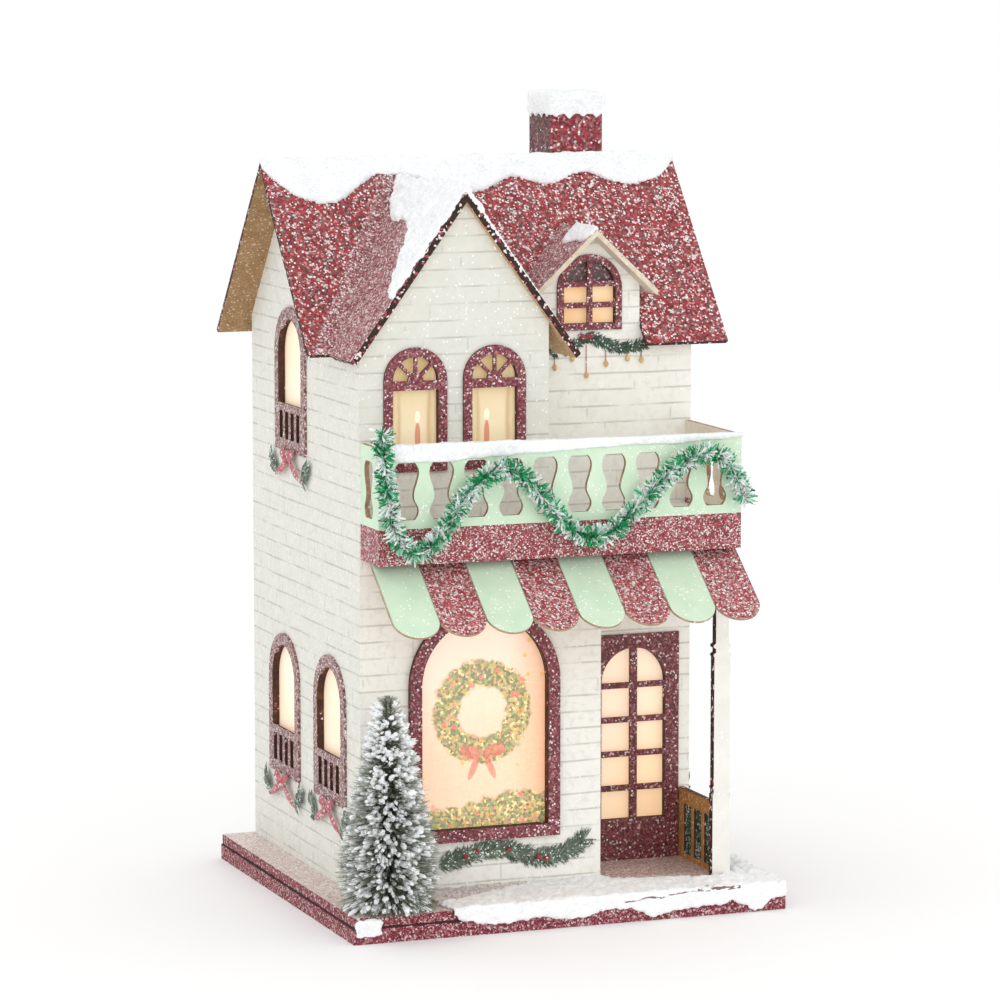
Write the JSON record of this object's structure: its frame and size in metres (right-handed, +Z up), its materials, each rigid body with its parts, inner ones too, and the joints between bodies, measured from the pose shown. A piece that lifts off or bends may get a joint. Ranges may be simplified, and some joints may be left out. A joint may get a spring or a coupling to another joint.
{
  "type": "lit christmas village house",
  "caption": "Tall glittered board Christmas house with a balcony, striped awning, porch, snowy roofs and a bottle brush tree, lit from inside by a battery lamp.",
  "frame": {"origin": "middle of the base's underside, on the surface that the house stands on", "axes": "+Z up; -Y towards the front, where the door and the balcony are; +X to the right of someone who faces the front"},
  "size_m": [0.1716, 0.1769, 0.3003],
  "materials": {
    "wall_board": "off-white brick printed paper with fine glitter",
    "roof_board": "coarse burgundy and white glitter",
    "base_board": "burgundy glitter",
    "burgundy_board": "burgundy glitter with burnt laser-cut edges",
    "mint_board": "mint paint with light sparkle and burnt laser-cut edges",
    "awning_board": "mint and burgundy glitter stripes",
    "white_board": "cream paint with burnt laser-cut edges",
    "raw_board": "raw brown board",
    "green_glitter_paper": "dark green glitter",
    "window_film": "translucent printed film, lit from behind",
    "snow_paste": "rough white snow paste",
    "paper_trim": "printed die-cut paper",
    "tinsel_foil": "green and white foil tinsel",
    "tree_bristle": "dark green bristle with white flocked tips",
    "steel": "plain steel",
    "black_plastic": "moulded black plastic",
    "cell_can": "plain cell can",
    "lamp_lens": "warm white diffuser"
  },
  "bodies": {
    "house": {"awning": "awning_board", "back_wall": "wall_board", "balcony_floor": "wall_board", "base_deck": "base_board", "base_slab": "base_board", "battery_box": "black_plastic", "battery_cells": "cell_can", "bay_front_wall": "wall_board", "bay_return_lower": "wall_board", "bay_return_upper": "wall_board", "big_window_film": "window_film", "big_window_frame": "burgundy_board", "chimney": "burgundy_board", "chimney_snow": "snow_paste", "contact_leaves": "steel", "deck_snow": "snow_paste", "door_film": "window_film", "door_wall": "wall_board", "dormer_cheeks": "wall_board", "dormer_garland": "paper_trim", "dormer_roof_left": "roof_board", "dormer_roof_right": "roof_board", "dormer_snow": "snow_paste", "dormer_window_film": "window_film", "dormer_window_frame": "burgundy_board", "fascia_front": "burgundy_board", "fascia_left": "burgundy_board", "fascia_right": "burgundy_board", "front_door": "burgundy_board", "gable_roof_left": "roof_board", "gable_roof_right": "roof_board", "gable_snow": "snow_paste", "lamp_holder": "black_plastic", "led_lamp": "lamp_lens", "left_wall": "wall_board", "left_window_frames": "burgundy_board", "main_roof_back": "roof_board", "main_roof_front": "roof_board", "porch_post": "white_board", "porch_rail": "raw_board", "porch_rail_backing": "green_glitter_paper", "rail_front": "mint_board", "rail_left": "mint_board", "rail_right": "mint_board", "rail_snow": "snow_paste", "ridge_snow": "snow_paste", "right_wall": "wall_board", "right_window_frames": "burgundy_board", "side_window_films": "window_film", "side_window_swags": "paper_trim", "switch_body": "black_plastic", "tinsel_garland": "tinsel_foil", "tree_brush": "tree_bristle", "tree_wire": "steel", "upper_window_films": "window_film", "upper_window_frame_left": "burgundy_board", "upper_window_frame_right": "burgundy_board", "window_garland": "paper_trim"},
    "battery_door": {"battery_door": "black_plastic"},
    "switch_slider": {"switch_slider": "black_plastic"}
  },
  "joints": [
    {"name": "battery_door_hinge", "type": "hinge", "parent": "house", "child": "battery_door", "pos_m": [-0.02405, 0.02925, 0.002], "axis": [0, 1, 0], "range_deg": [0, 95]},
    {"name": "switch_slide", "type": "slide", "parent": "house", "child": "switch_slider", "axis": [0, 1, 0], "range_m": [0, 0.004]}
  ]
}
